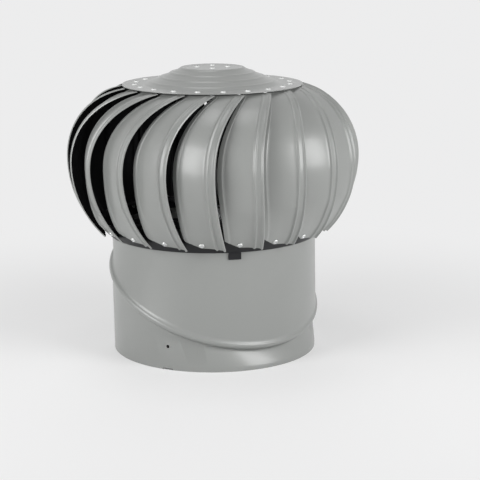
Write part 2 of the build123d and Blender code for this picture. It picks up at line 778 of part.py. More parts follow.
with BuildPart() as circlips:
    for height in circlip_heights:
        with BuildSketch(Plane.XY.offset(height)):
            Circle(circlip_radius)
            Circle(spindle_radius - circlip_groove, mode=Mode.SUBTRACT)
        extrude(amount=circlip_width)
finish(circlips, "circlips")
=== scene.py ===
from math import atan2, cos, pi, radians, sin

import bmesh
import bpy
from bpy.props import FloatProperty, FloatVectorProperty, IntProperty, PointerProperty
from mathutils import Matrix, Vector


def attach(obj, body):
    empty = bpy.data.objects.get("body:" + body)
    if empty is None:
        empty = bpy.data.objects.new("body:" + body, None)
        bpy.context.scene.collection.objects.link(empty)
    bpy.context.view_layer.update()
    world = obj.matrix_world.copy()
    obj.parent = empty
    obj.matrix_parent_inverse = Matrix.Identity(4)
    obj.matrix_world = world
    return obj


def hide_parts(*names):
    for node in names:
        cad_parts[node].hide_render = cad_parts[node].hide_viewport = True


bl_info = {
    "name": "Roof Turbine Ventilator",
    "version": (1, 0, 0),
    "blender": (4, 5, 0),
    "location": "View3D > Sidebar > Ventilator",
    "description": "Dresses the packed model of a wind-driven roof ventilator",
    "category": "Object",
}

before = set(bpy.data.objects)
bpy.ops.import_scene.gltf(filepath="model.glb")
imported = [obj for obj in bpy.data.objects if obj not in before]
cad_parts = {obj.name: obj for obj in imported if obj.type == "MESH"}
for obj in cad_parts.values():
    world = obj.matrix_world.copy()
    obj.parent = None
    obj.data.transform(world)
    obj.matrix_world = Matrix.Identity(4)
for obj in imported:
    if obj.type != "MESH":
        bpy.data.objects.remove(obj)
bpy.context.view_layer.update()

# Everything is in metres. Azimuths run from +X towards +Y, so the front is at -90 degrees.


# ---- settings -----------------------------------------------------------------------------


def length(name, description, default):
    """A length in metres."""
    return FloatProperty(
        name=name, description=description, default=default, unit="LENGTH", precision=4
    )


def angle(name, description, default):
    """An angle, given in degrees."""
    return FloatProperty(
        name=name, description=description, default=radians(default), subtype="ANGLE"
    )


def number(name, description, default):
    """A plain factor."""
    return FloatProperty(name=name, description=description, default=default)


def count(name, description, default):
    """A whole number."""
    return IntProperty(name=name, description=description, default=default, min=1)


def colour(name, description, default):
    """A colour in linear values."""
    return FloatVectorProperty(
        name=name, description=description, default=default, size=3, min=0, max=1, subtype="COLOR"
    )


class ThroatSettings(bpy.types.PropertyGroup):
    """Two round sections that turn on each other at an inclined joint."""

    radius: length("Radius", "Outside of the straight collars", 0.150)
    wall: length("Wall", "Thickness of the sheet", 0.001)
    height: length("Height", "Top rim of the upper section", 0.180)
    lower_collar: length("Lower collar", "Straight stretch above the bottom rim", 0.008)
    upper_collar: length("Upper collar", "Straight stretch below the top rim", 0.010)
    hem_depth: length("Hem depth", "Height of the folded top rim", 0.005)
    swivel_height: length("Joint height", "Where the joint's plane meets the throat's axis", 0.0955)
    swivel_tilt: angle("Joint tilt", "Lean of the joint's plane", 24)
    swivel_azimuth: angle("Joint azimuth", "Side where the joint is lowest", -54)
    swivel_flare: length("Joint flare", "How much wider the lower section is at the joint", 0.003)
    swivel_gap: length("Joint gap", "Room between the two sections", 0.00035)
    swivel_band: length("Joint band", "Half the height of the round band", 0.009)
    swivel_lip: length("Joint lip", "Top of the lower section, above the plane", 0.007)
    swivel_skirt: length("Joint skirt", "Bottom of the upper section, below the plane", 0.0075)
    bead: length("Bead", "How far the lower section's bead stands out", 0.005)
    bead_half: length("Bead half height", "Half the height of that bead", 0.0036)
    hole_count: count("Fixing holes", "Number of screw holes near the bottom rim", 3)
    hole_radius: length("Hole radius", "Radius of the screw holes", 0.0024)
    hole_height: length("Hole height", "Height of the screw holes", 0.034)
    hole_azimuth: angle("Hole azimuth", "Azimuth of the first screw hole", -116.5)
    notch_width: length("Notch width", "Width of the notch in the rim under each hole", 0.016)
    notch_depth: length("Notch depth", "Height of that notch", 0.002)


class VaneSettings(bpy.types.PropertyGroup):
    """Curved blades between the base ring and the cap."""

    count: count("Vanes", "Number of blades", 20)
    sheet: length("Sheet", "Thickness of the sheet", 0.0008)
    head_radius: length("Head radius", "Outside of the blades' edge ribs", 0.214)
    equator: length("Equator", "Height where the head is widest", 0.285)
    crown_radius: length("Crown radius", "Meridian radius above the equator", 0.107)
    skirt_radius: length("Skirt radius", "Meridian radius below the equator", 0.150)
    azimuth: angle("Azimuth", "Leading edge of the first blade at the equator", -89.4)
    crown_sweep: angle("Crown sweep", "How far the leading edge has turned by the top", 19)
    crown_sweep_power: number("Crown sweep power", "A higher power keeps it near the top", 2.4)
    skirt_sweep: angle("Skirt sweep", "How far the leading edge has turned by the bottom", 5)
    skirt_sweep_power: number("Skirt sweep power", "A higher power keeps it near the bottom", 1.7)
    crown_angle: angle("Crown angle", "Meridian angle of the top edge", 76)
    skirt_angle: angle("Skirt angle", "Meridian angle of the bottom edge", -45)
    width: length("Width", "Width at the equator", 0.060)
    top_width: length("Top width", "Width at the top edge", 0.046)
    bottom_width: length("Bottom width", "Width at the bottom edge", 0.053)
    drop: length("Drop", "How far the trailing edge lies further in", 0.020)
    top_drop: length("Top drop", "The same at the top edge", 0.005)
    drop_power: number("Drop power", "How soon the drop eases off", 1.3)
    bulge: number("Bulge", "Share of the drop that bows the face outwards", 0.4)
    landing: number("Landing", "Share of the foot's width that comes down", 0.55)
    lift_share: number("Lift share", "Where the blade starts to turn onto the ring", 0.4)
    seat_share: number("Seat share", "Where on the way down it lies on the ring", 0.82)
    rib: length("Rib height", "Height of the edge roll and the rib beside it", 0.002)
    rib_crown_share: number("Rib crown share", "The ribs run out to this share", 0.3)
    rib_fade: angle("Rib fade", "Meridian angle at which the ribs start to run out", 60)
    hem_step: length("Hem step", "Width of the step up to the hem", 0.0012)
    roll_crest: length("Roll crest", "Crest of the rolled leading edge, from the edge", 0.002)
    roll_width: length("Roll width", "Width of the rolled leading edge", 0.0045)
    rib_inset: length("Rib inset", "Crest of the second rib, from the edge", 0.0125)
    rib_half: length("Rib half width", "Half the width of the second rib", 0.003)
    hem_width: length("Hem width", "Width of the folded trailing edge", 0.007)
    hem_height: length("Hem height", "How much thicker the folded edge is", 0.0006)
    tab_width: length("Tab width", "Width of the tab under the cap", 0.022)
    tab_start: length("Tab start", "Where the tab is flat, in from the brim's edge", 0.010)
    tab_end: length("Tab end", "End of the tab, in from the brim's edge", 0.028)
    foot_angle: angle("Foot angle", "Slope of the cut across the trailing corner", 35)
    foot_distance: length("Foot distance", "Distance of that cut from the rivet", 0.005)


class CapSettings(bpy.types.PropertyGroup):
    """Stepped dome that joins the blades at the top."""

    sheet: length("Sheet", "Thickness of the sheet", 0.001)
    overhang: length("Overhang", "Brim past the blades' top edge", 0.0001)
    lift: length("Lift", "Top of the brim above the blades' top edge", 0.0028)
    brim_width: length("Brim width", "Width of the flat brim", 0.032)
    rise: length("Rise", "Height of the dome above the brim", 0.0234)
    flat_radius: length("Flat radius", "Radius of the flat middle", 0.044)
    step_count: count("Steps", "Number of steps in the slope", 4)
    step_start: length("First step", "First step, out from the flat middle", 0.002)
    step_end: length("Last step", "Last step, in from the brim", 0.009)
    step_height: length("Step height", "Height of each step in the slope", 0.0009)
    step_half: length("Step half width", "Half the width of each step", 0.0035)


class RivetSettings(bpy.types.PropertyGroup):
    """Blind rivets of one size."""

    head_radius: length("Head radius", "Radius of the domed head", 0.0042)
    head_height: length("Head height", "Height of the domed head", 0.0017)
    pit_radius: length("Pit radius", "Radius of the hollow that the mandrel leaves", 0.0016)
    shank_radius: length("Shank radius", "Radius of the shank", 0.002)
    tail_radius: length("Tail radius", "Radius of the closed tail", 0.0032)
    tail_height: length("Tail height", "Height of the closed tail", 0.0012)
    cap_edge: length("Cap rivets", "Rim rivets, in from the brim's edge", 0.0175)
    cap_inset: length("Cap rivet inset", "Rim rivets, from the blade's leading edge", 0.028)
    seat: length("Seat", "Room under the heads on the curved feet", 0.0002)
    flange: length("Flange", "Housing flange under the cap's middle", 0.002)
    ring_angle: angle("Ring rivet angle", "Meridian angle of the base ring's rivets", -42.5)
    ring_inset: length("Ring rivet inset", "Ring rivets, from the blade's leading edge", 0.033)
    hub_radius: length("Hub rivets", "Pitch radius round the cap's middle", 0.022)
    hub_count: count("Hub rivet count", "Number of rivets round the cap's middle", 4)


class RingSettings(bpy.types.PropertyGroup):
    """Channel ring under the blades."""

    sheet: length("Sheet", "Thickness of the sheet", 0.0012)
    standoff: length("Standoff", "Leading edge's height over the blade's foot", 0.0055)
    gap: length("Seat gap", "Room between the seat and the blades' feet", 0.0003)
    bottom_radius: length("Bottom radius", "Outside of the lower edge", 0.1539)
    bottom_height: length("Bottom height", "Height of the lower edge", 0.1735)
    seat_down: length("Seat below rivets", "Length of the seat below the rivets", 0.0065)
    seat_up: length("Seat above rivets", "Length of the seat above the rivets", 0.008)
    flange: length("Flange", "Width of the inward flange", 0.014)
    edge_radius: length("Edge radius", "Rounding of the sheet's edges", 0.0003)


class FinishSettings(bpy.types.PropertyGroup):
    """Colours of the finishes."""

    paint: colour("Paint", "Grey paint of the sheet metal", (0.262, 0.270, 0.261))
    # The inside colour is painted shade: a near-black tone on the blades' inner faces, the cap's
    # underside and the cap rivets' pits, standing in for the shaded interior.
    inside: colour("Inside", "Dark finish of the blades' inner faces", (0.011, 0.011, 0.012))
    black: colour("Black paint", "Base ring, brace and spider", (0.018, 0.018, 0.020))
    rivet: colour("Rivets", "Plain aluminium", (0.70, 0.71, 0.70))
    zinc: colour("Zinc", "Plated spindle, nuts and housings", (0.50, 0.51, 0.52))
    backdrop: colour("Backdrop", "Pale floor and background", (0.845, 0.845, 0.848))


class StageSettings(bpy.types.PropertyGroup):
    """Camera and lights."""

    camera_distance: length("Camera distance", "Level distance of the camera from the axis", 2.1658)
    camera_height: length("Camera height", "Height of the camera", 0.6421)
    camera_pitch: angle("Camera pitch", "How far the camera looks down", 12.606)
    camera_yaw: angle("Camera yaw", "How far the camera looks to the right of the axis", 1.027)
    camera_roll: angle("Camera roll", "How far the camera is rolled", -0.307)
    lens: FloatProperty(name="Lens", description="Focal length in millimetres", default=112.0)
    side_azimuth: angle("Side lights", "Turn of the side lights from the front", 52)
    side_distance: length("Side light distance", "Distance of the side lights from the axis", 1.55)
    side_height: length("Side light height", "Height of the side lights' middle", 0.75)
    side_width: length("Side light width", "Width of the side lights", 0.80)
    side_tall: length("Side light length", "Length of the side lights", 1.10)
    left_power: number("Left light power", "Power of the left side light, in watts", 18.5)
    right_power: number("Right light power", "Power of the right side light, in watts", 20.0)
    top_height: length("Top light height", "Height of the light above", 2.0)
    top_width: length("Top light width", "Width of the light above", 0.8)
    back_distance: length("Back light distance", "Distance of the light behind from the axis", 1.9)
    back_height: length("Back light height", "Height of the light behind", 0.9)
    back_width: length("Back light width", "Width of the light behind", 1.2)
    back_power: number("Back light power", "Power of the light behind, in watts", 14.0)
    top_power: number("Top light power", "Power of the light above, in watts", 5.0)
    floor_radius: length("Floor radius", "Radius of the floor", 14.0)
    floor_glow: number("Floor glow", "Share of plain colour beside the throat", 0.5)
    world_strength: number("World strength", "Strength of the even light all round", 0.08)
    shadow_reach: length("Shadow reach", "Radius past which the floor shows no shadow", 0.9)


SETTINGS = {
    "throat": ThroatSettings,
    "vane": VaneSettings,
    "cap": CapSettings,
    "rivet": RivetSettings,
    "ring": RingSettings,
    "finish": FinishSettings,
    "stage": StageSettings,
}


def settings(name):
    """The scene's settings of one group."""
    return getattr(bpy.context.scene, "ventilator_" + name)


# ---- materials ----------------------------------------------------------------------------


class Term:
    """A shader socket that can stand in a Python expression."""

    def __init__(self, tree, socket):
        self.tree = tree
        self.socket = socket

    def join(self, operation, first, second):
        """Add a Math node on two values."""
        node = self.tree.nodes.new("ShaderNodeMath")
        node.operation = operation
        for socket, value in zip(node.inputs, (first, second)):
            plug(self.tree, socket, value)
        return Term(self.tree, node.outputs[0])

    def __add__(self, other):
        return self.join("ADD", self, other)

    def __sub__(self, other):
        return self.join("SUBTRACT", self, other)

    def __rsub__(self, other):
        return self.join("SUBTRACT", other, self)

    def __mul__(self, other):
        return self.join("MULTIPLY", self, other)

    def __gt__(self, other):
        return self.join("GREATER_THAN", self, other)

    __radd__ = __add__
    __rmul__ = __mul__


def plug(tree, socket, value):
    """Link a term to a socket, or set the socket to a plain value."""
    if isinstance(value, Term):
        tree.links.new(value.socket, socket)
    else:
        socket.default_value = value


class Finish:
    """A material made of one principled shader and the nodes that feed it."""

    def __init__(self, name, **constants):
        self.material = bpy.data.materials.new(name)
        self.material.use_nodes = True
        self.tree = self.material.node_tree
        self.shader = self.tree.nodes["Principled BSDF"]
        for socket, value in constants.items():
            self.shader.inputs[socket.replace("_", " ")].default_value = value
        self.place = self.add("ShaderNodeTexCoord", output="Object")

    def add(self, kind, modes=None, output=0, **inputs):
        """Add a node with its modes and inputs, and give one of its outputs."""
        node = self.tree.nodes.new(kind)
        for key, value in (modes or {}).items():
            setattr(node, key, value)
        for key, value in inputs.items():
            socket = node.inputs[int(key[1:]) if key[0] == "i" and key[1:].isdigit() else key]
            plug(self.tree, socket, value)
        return Term(self.tree, node.outputs[output])

    def noise(self, scale, detail=3.0):
        """Noise from 0 to 1 on object coordinates."""
        return self.add("ShaderNodeTexNoise", Vector=self.place, Scale=scale, Detail=detail)

    def blend(self, share, first, second):
        """Mix of two colours."""
        node = self.tree.nodes.new("ShaderNodeMix")
        node.data_type = "RGBA"
        for index, value in ((0, share), (6, first), (7, second)):
            plug(self.tree, node.inputs[index], value)
        return Term(self.tree, node.outputs[2])

    def bump(self, height, distance, strength):
        """Feed a height to the shader's normal."""
        bumped = self.add("ShaderNodeBump", Height=height, Distance=distance, Strength=strength)
        self.feed("Normal", bumped)

    def feed(self, socket, value):
        """Feed a value to one of the shader's sockets."""
        plug(self.tree, self.shader.inputs[socket], value)


def shade(tone, factor):
    """A colour with alpha, lighter or darker by a factor."""
    return (tone[0] * factor, tone[1] * factor, tone[2] * factor, 1.0)


PEEL_HEIGHT = 0.00002      # of the paint's orange peel
STREAK_HEIGHT = 0.00003    # of the streaks in plain metal


def make_paint(name, tone, roughness, coat, gloss=0.5):
    """Sprayed paint: faint orange peel, uneven gloss and a little dust in the colour."""
    paint = Finish(name, Coat_Roughness=0.25, Specular_IOR_Level=gloss)
    cloud = paint.noise(7.0)
    grain = paint.noise(420.0, 2.0)
    speck = paint.noise(1600.0, 1.0)
    mottled = paint.blend(cloud, shade(tone, 0.95), shade(tone, 1.05))
    paint.feed("Base Color", paint.blend(grain * 0.10, mottled, shade(tone, 0.75)))
    paint.feed("Roughness", cloud * 0.08 + grain * 0.05 + (roughness - 0.065))
    paint.feed("Coat Weight", coat + cloud * 0.1 - 0.05)
    paint.bump(grain + speck * 0.4, PEEL_HEIGHT, 0.25)
    return paint.material


def make_metal(name, tone, roughness, streak):
    """Plain metal with fine turned or drawn streaks along Z."""
    metal = Finish(name, Metallic=1.0)
    around = metal.add("ShaderNodeMapping", Vector=metal.place, Scale=(1.0, 1.0, streak))
    lines = metal.add("ShaderNodeTexNoise", Vector=around, Scale=260.0, Detail=4.0)
    cloud = metal.noise(30.0)
    metal.feed("Base Color", metal.blend(cloud, shade(tone, 0.86), shade(tone, 1.06)))
    metal.feed("Roughness", lines * 0.14 + cloud * 0.08 + (roughness - 0.11))
    metal.bump(lines, STREAK_HEIGHT, 0.3)
    return metal.material


finishes = {}


def finish_named(name):
    """One of the object's finishes, made when it is first asked for."""
    tones = settings("finish")
    if name not in finishes:
        finishes[name] = {
            "grey_paint": lambda: make_paint("Grey Paint", tones.paint, 0.42, 0.55),
            # inside: near-black painted shade for faces in the head's shaded interior
            "inside": lambda: make_paint("Dark Inner Face", tones.inside, 0.75, 0.05, 0.1),
            "black_paint": lambda: make_paint("Black Paint", tones.black, 0.45, 0.05, 0.15),
            "rivet_aluminium": lambda: make_metal("Rivet Aluminium", tones.rivet, 0.34, 1.0),
            "zinc_steel": lambda: make_metal("Zinc Plate", tones.zinc, 0.36, 12.0),
            "bearing_steel": lambda: make_metal("Bearing Steel", tones.zinc, 0.24, 12.0),
        }[name]()
    return finishes[name]


# ---- making pieces ------------------------------------------------------------------------


def around(azimuth, radius, height):
    """Point at a radius, azimuth and height."""
    return Vector((radius * cos(azimuth), radius * sin(azimuth), height))


def outward(azimuth, lean):
    """Direction outwards at an azimuth, raised by lean."""
    return Vector((cos(lean) * cos(azimuth), cos(lean) * sin(azimuth), sin(lean)))


def eastward(azimuth):
    """Direction round the axis at an azimuth."""
    return Vector((-sin(azimuth), cos(azimuth), 0))


def line_of(mesh, points):
    """A line of vertices and edges in a bmesh."""
    corners = [mesh.verts.new(point) for point in points]
    return [mesh.edges.new(pair) for pair in zip(corners, corners[1:])]


def full_spin(mesh, edges, steps):
    """Turn a line once round Z into a closed skin."""
    corners = list({corner for edge in edges for corner in edge.verts})
    bmesh.ops.spin(
        mesh,
        geom=corners + edges,
        cent=(0, 0, 0),
        axis=(0, 0, 1),
        angle=2 * pi,
        steps=steps,
        use_merge=True,
    )
    bmesh.ops.remove_doubles(mesh, verts=mesh.verts, dist=1e-6)


def thicken(mesh, wall, outwards):
    """Give a skin its thickness inwards: outwards gives the way its outside faces at a point."""
    bmesh.ops.recalc_face_normals(mesh, faces=mesh.faces)
    mesh.normal_update()
    if sum(face.normal.dot(outwards(face.calc_center_median())) for face in mesh.faces) < 0:
        bmesh.ops.reverse_faces(mesh, faces=mesh.faces)
    outside = list(mesh.faces)
    bmesh.ops.solidify(mesh, geom=outside, thickness=wall)
    return outside


def put(mesh, name, body, finish_names, replaces, crease=40, bevel=0):
    """Turn a bmesh into a finished piece that rides on a body and stands for CAD nodes."""
    mesh.normal_update()
    for face in mesh.faces:
        face.smooth = True
    for edge in mesh.edges:
        edge.smooth = len(edge.link_faces) == 2 and edge.calc_face_angle() < radians(crease)
    data = bpy.data.meshes.new(name)
    mesh.to_mesh(data)
    mesh.free()
    for finish_name in finish_names:
        data.materials.append(finish_named(finish_name))
    piece = bpy.data.objects.new(name, data)
    bpy.context.scene.collection.objects.link(piece)
    if bevel:
        edges = piece.modifiers.new("Edge", "BEVEL")
        edges.width = bevel
        edges.segments = 2
        edges.limit_method = "ANGLE"
        edges.angle_limit = radians(crease)
    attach(piece, body)
    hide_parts(*replaces)


# ---- throat -------------------------------------------------------------------------------

THROAT_STEPS = 144       # round the throat
BEAD_STEPS = 6           # from a bead's crest to its foot
BEAD_FULLNESS = 0.8      # below 1 a bead is fuller than a half ellipse
WINDOW_MARGIN = 0.006    # how far past a window the faces are cut through
HOLE_CUTS = 3            # in each edge round a screw hole's window


def swivel_frame():
    """Centre, axis and level direction across of the inclined joint."""
    throat = settings("throat")
    axis = outward(throat.swivel_azimuth, pi / 2 - throat.swivel_tilt)
    across = eastward(throat.swivel_azimuth)
    return Vector((0, 0, throat.swivel_height)), axis, across


def ring_of_edges(mesh, centre, across, side, radius):
    """A round loop of edges about a centre."""
    turns = [2 * pi * k / THROAT_STEPS for k in range(THROAT_STEPS)]
    corners = [mesh.verts.new(centre + radius * (across * cos(t) + side * sin(t))) for t in turns]
    return [mesh.edges.new((corners[k - 1], corners[k])) for k in range(THROAT_STEPS)]


def bridge_all(mesh, loops):
    """Skin over a row of loops."""
    for first, second in zip(loops, loops[1:]):
        bmesh.ops.bridge_loops(mesh, edges=first + second)


def bead_profile(foot, crest, half):
    """Points of a rounded bead from below to above: radius about the swivel axis and height."""
    leans = [pi / 2 * k / BEAD_STEPS for k in range(1 - BEAD_STEPS, BEAD_STEPS)]
    return [(foot + (crest - foot) * cos(t) ** BEAD_FULLNESS, half * sin(t)) for t in leans]


def throat_loops(mesh, level_rings, joint_rings):
    """Loops of a throat section: level ones and ones about the swivel axis, in order."""
    centre, axis, across = swivel_frame()
    upright = Vector((0, 0, 1))
    level = [
        ring_of_edges(mesh, upright * height, across, upright.cross(across), radius)
        for radius, height in level_rings
    ]
    joint = [
        ring_of_edges(mesh, centre + axis * height, across, axis.cross(across), radius)
        for radius, height in joint_rings
    ]
    return level + joint


def away_from_axis(point):
    """Level direction from the axis to a point."""
    return Vector((point.x, point.y, 0))


def cut_window(mesh, out, low, high, half):
    """Cut a window with straight edges in the wall that faces out, and give the edges round it."""
    east = Vector((0, 0, 1)).cross(out)
    planes = [(east * half * side, east) for side in (-1, 1)]
    planes += [(Vector((0, 0, height)), Vector((0, 0, 1))) for height in (low, high)]
    for point, normal in planes:
        region = [
            face
            for face in mesh.faces
            if face.calc_center_median().dot(out) > 0
            and min(abs(vert.co.dot(east)) for vert in face.verts) < half + WINDOW_MARGIN
            and min(vert.co.z for vert in face.verts) < high
            and max(vert.co.z for vert in face.verts) > low
        ]
        geometry = list({part for face in region for part in (*face.verts, *face.edges, face)})
        bmesh.ops.bisect_plane(mesh, geom=geometry, plane_co=point, plane_no=normal, dist=1e-7)

    def inside(face):
        middle = face.calc_center_median()
        return middle.dot(out) > 0 and abs(middle.dot(east)) < half and low < middle.z < high

    window = [face for face in mesh.faces if inside(face)]
    rim = {edge for face in window for edge in face.edges}
    rim = {edge for edge in rim if any(face not in window for face in edge.link_faces)}
    bmesh.ops.delete(mesh, geom=window, context="FACES")
    return [edge for edge in rim if edge.is_valid]


def cut_fixings(mesh, throat):
    """Screw holes through the lower section, and the shallow notches under them."""
    for turn in range(throat.hole_count):
        azimuth = throat.hole_azimuth + 2 * pi / throat.hole_count * turn
        out = outward(azimuth, 0)
        cut_window(mesh, out, -throat.notch_depth, throat.notch_depth, throat.notch_width / 2)
        half = throat.hole_radius * 2    # of the square window round the hole
        rim = cut_window(mesh, out, throat.hole_height - half, throat.hole_height + half, half)
        depth = sum(edge.verts[0].co.dot(out) for edge in rim) / len(rim)
        middle = out * depth + Vector((0, 0, throat.hole_height))
        bmesh.ops.subdivide_edges(mesh, edges=rim, cuts=HOLE_CUTS)
        rim = [
            edge
            for edge in mesh.edges
            if edge.is_boundary and all((vert.co - middle).length < 2 * half for vert in edge.verts)
        ]
        drawn = bmesh.ops.extrude_edge_only(mesh, edges=rim)["geom"]
        for corner in (part for part in drawn if isinstance(part, bmesh.types.BMVert)):
            flat = corner.co - middle
            corner.co = middle + (flat - out * flat.dot(out)).normalized() * throat.hole_radius


class VENTILATOR_OT_throat(bpy.types.Operator):
    """Make the lower and upper sections of the throat"""

    bl_idname = "ventilator.throat"
    bl_label = "Throat"

    def execute(self, context):
        throat = settings("throat")
        joint = throat.radius + throat.swivel_flare
        inner_bead = bead_profile(joint, joint + throat.bead, throat.bead_half)
        mesh = bmesh.new()
        levels = [(throat.radius, z) for z in (0, throat.notch_depth, throat.lower_collar)]
        loops = throat_loops(
            mesh, levels, [(joint, -throat.swivel_band), *inner_bead, (joint, throat.swivel_lip)]
        )
        bridge_all(mesh, loops)
        cut_fixings(mesh, throat)
        thicken(mesh, throat.wall, away_from_axis)
        put(mesh, "lower_throat_skin", "lower_throat", ["grey_paint"], ["throat_lower"], crease=50)

        skirt = joint + throat.swivel_gap + throat.wall
        crest = joint + throat.bead + throat.swivel_gap + throat.wall
        outer_bead = bead_profile(skirt, crest, throat.bead_half + throat.swivel_gap + throat.wall)
        mesh = bmesh.new()
        depths = (0, throat.hem_depth, throat.upper_collar)
        levels = [(throat.radius, throat.height - depth) for depth in depths]
        rings = [(skirt, throat.swivel_band), *outer_bead[::-1], (skirt, -throat.swivel_skirt)]
        bridge_all(mesh, throat_loops(mesh, levels, rings))
        thicken(mesh, throat.wall, away_from_axis)
        put(mesh, "upper_throat_skin", "upper_throat", ["grey_paint"], ["throat_upper"], crease=50)
        return {"FINISHED"}


# ---- vanes --------------------------------------------------------------------------------


def meridian(lean):
    """Radius and height of the vanes' leading edge where its outward normal leans by this much."""
    vane = settings("vane")
    arc = vane.crown_radius if lean > 0 else vane.skirt_radius
    reach = vane.head_radius - vane.rib - arc
    return reach + arc * cos(lean), vane.equator + arc * sin(lean)


def vane_span(lean):
    """Width of a vane and the sweep of its leading edge, at a meridian angle."""
    vane = settings("vane")
    if lean > 0:
        share = lean / vane.crown_angle
        width = vane.width - (vane.width - vane.top_width) * share**2
        return width, vane.crown_sweep * share**vane.crown_sweep_power
    share = lean / vane.skirt_angle
    width = vane.width - (vane.width - vane.bottom_width) * share**2
    return width, vane.skirt_sweep * share**vane.skirt_sweep_power


def vane_fall(lean):
    """How far the trailing edge lies inside the leading edge, and how far the vane is seated."""
    vane = settings("vane")
    if lean > 0:
        blend = max(0, cos(pi / 2 * lean / vane.crown_angle)) ** vane.drop_power
        return vane.top_drop + (vane.drop - vane.top_drop) * blend, 0
    standoff = settings("ring").standoff
    share = lean / vane.skirt_angle
    blend = cos(pi / 2 * min(1, share / vane.seat_share)) ** vane.drop_power
    seated = min(1, max(0, (share - vane.lift_share) / (vane.seat_share - vane.lift_share)))
    return standoff + (vane.drop - standoff) * blend, seated


def middle_azimuth(lean, azimuth):
    """Azimuth of the middle of a vane's section, from its leading edge's at the equator."""
    width, sweep = vane_span(lean)
    return azimuth + sweep - atan2(width / 2, meridian(lean)[0])


def offset_azimuth(lean, azimuth, inset):
    """Azimuth of the line on a vane that lies a distance back from its leading edge."""
    across = vane_span(lean)[0] / 2 - inset
    return middle_azimuth(lean, azimuth) + atan2(across, meridian(lean)[0])


def hump(distance, half):
    """Rounded hump from 0 at its feet to 1 at its crest."""
    return 0.5 + 0.5 * cos(pi * min(1, abs(distance) / half))


def relief(inset, width):
    """Height of the edge roll, the rib and the hem over the plain face."""
    vane = settings("vane")
    roll_half = max(vane.roll_crest, vane.roll_width - vane.roll_crest)
    roll = vane.rib * hump(inset - vane.roll_crest, roll_half)
    if inset < vane.roll_crest:
        roll = vane.rib * (1 - (1 - inset / vane.roll_crest) ** 2)
    rib = vane.rib * hump(inset - vane.rib_inset, vane.rib_half)
    hem_start = width - vane.hem_width
    hem = vane.hem_height * min(1, max(0, (inset - hem_start) / vane.hem_step))
    return roll + rib, hem


def vane_point(lean, azimuth, inset, width, rib_share):
    """Point on a vane's outer face."""
    vane = settings("vane")
    drop, seated = vane_fall(lean)
    radius, height = meridian(lean)
    across = width / 2 - inset
    share = inset / width
    bowed = share - vane.bulge * share * (1 - share)
    landed = sin(pi / 2 * min(1, share / vane.landing))
    ribs, hem = relief(inset, width)
    fallen = drop * ((1 - seated) * bowed + seated * landed)
    level = -(across**2) * cos(lean) / (2 * radius) - fallen
    middle = middle_azimuth(lean, azimuth)
    rise = level + vane.sheet / 2 + ribs * rib_share + hem
    return around(middle, radius, height) + eastward(middle) * across + outward(middle, lean) * rise


FACE_STEPS = 12          # across the plain face
MERIDIAN_STEPS = 44      # from foot to crown
TAB_STEPS = 4            # from the crown to the tab, and along it
TAB_GAP = 0.00005        # between the tab and the brim
FOOT_SLIVER = 2e-8       # area under which an inner face keeps the outside's finish


def inset_shares(width):
    """Distances from the leading edge at which a vane's section has a point."""
    vane = settings("vane")
    rib_start, rib_end = vane.rib_inset - vane.rib_half, vane.rib_inset + vane.rib_half
    hem_start = width - vane.hem_width
    spans = [
        (0, vane.roll_crest, 4),
        (vane.roll_crest, vane.roll_width, 4),
        (vane.roll_width, rib_start, 3),
        (rib_start, rib_end, 10),
        (rib_end, hem_start, FACE_STEPS),
        (hem_start, hem_start + vane.hem_step, 2),
        (hem_start + vane.hem_step, width, 4),
    ]
    insets = [
        start + (end - start) * k / steps for start, end, steps in spans for k in range(steps)
    ]
    return insets + [width]


def cap_brim():
    """Radius and height of the brim's outer top edge."""
    vane, cap = settings("vane"), settings("cap")
    radius, height = meridian(vane.crown_angle)
    return radius + cap.overhang, height + cap.lift


def vane_place(row, column, azimuth):
    """Where a grid corner of a vane goes: rows from the foot, columns from the leading edge."""
    vane, cap, rivet = settings("vane"), settings("cap"), settings("rivet")
    lean = vane.skirt_angle + (vane.crown_angle - vane.skirt_angle) * min(1, row / MERIDIAN_STEPS)
    width = vane_span(lean)[0]
    inset = inset_shares(width)[column]
    fade = max(0, (lean - vane.rib_fade) / (vane.crown_angle - vane.rib_fade))
    rib_share = 1 - (1 - vane.rib_crown_share) * fade
    if row <= MERIDIAN_STEPS:
        return vane_point(lean, azimuth, inset, width, rib_share)
    brim_radius, brim_height = cap_brim()
    tab_azimuth = offset_azimuth(vane.crown_angle, azimuth, rivet.cap_inset)
    across = vane.tab_width * (0.5 - inset / width)
    beyond = row - MERIDIAN_STEPS
    underside = brim_height - cap.sheet - TAB_GAP
    start = around(tab_azimuth, brim_radius - vane.tab_start, underside)
    start += eastward(tab_azimuth) * across
    if beyond <= TAB_STEPS:
        edge = vane_point(lean, azimuth, inset, width, rib_share * (1 - beyond / TAB_STEPS))
        return edge.lerp(start, beyond / TAB_STEPS)
    along = (beyond - TAB_STEPS) / TAB_STEPS * (vane.tab_end - vane.tab_start)
    return start - outward(tab_azimuth, 0) * along


def ring_rivet_place(azimuth, depth):
    """Point over the base ring's seat at a rivet, and the outward direction there."""
    vane, ring, rivet = settings("vane"), settings("ring"), settings("rivet")
    foot = offset_azimuth(rivet.ring_angle, azimuth, rivet.ring_inset)
    radius, height = meridian(rivet.ring_angle)
    out = outward(foot, rivet.ring_angle)
    seat = around(foot, radius, height) - out * (ring.standoff + vane.sheet / 2 + ring.gap)
    return seat + out * depth, out, foot


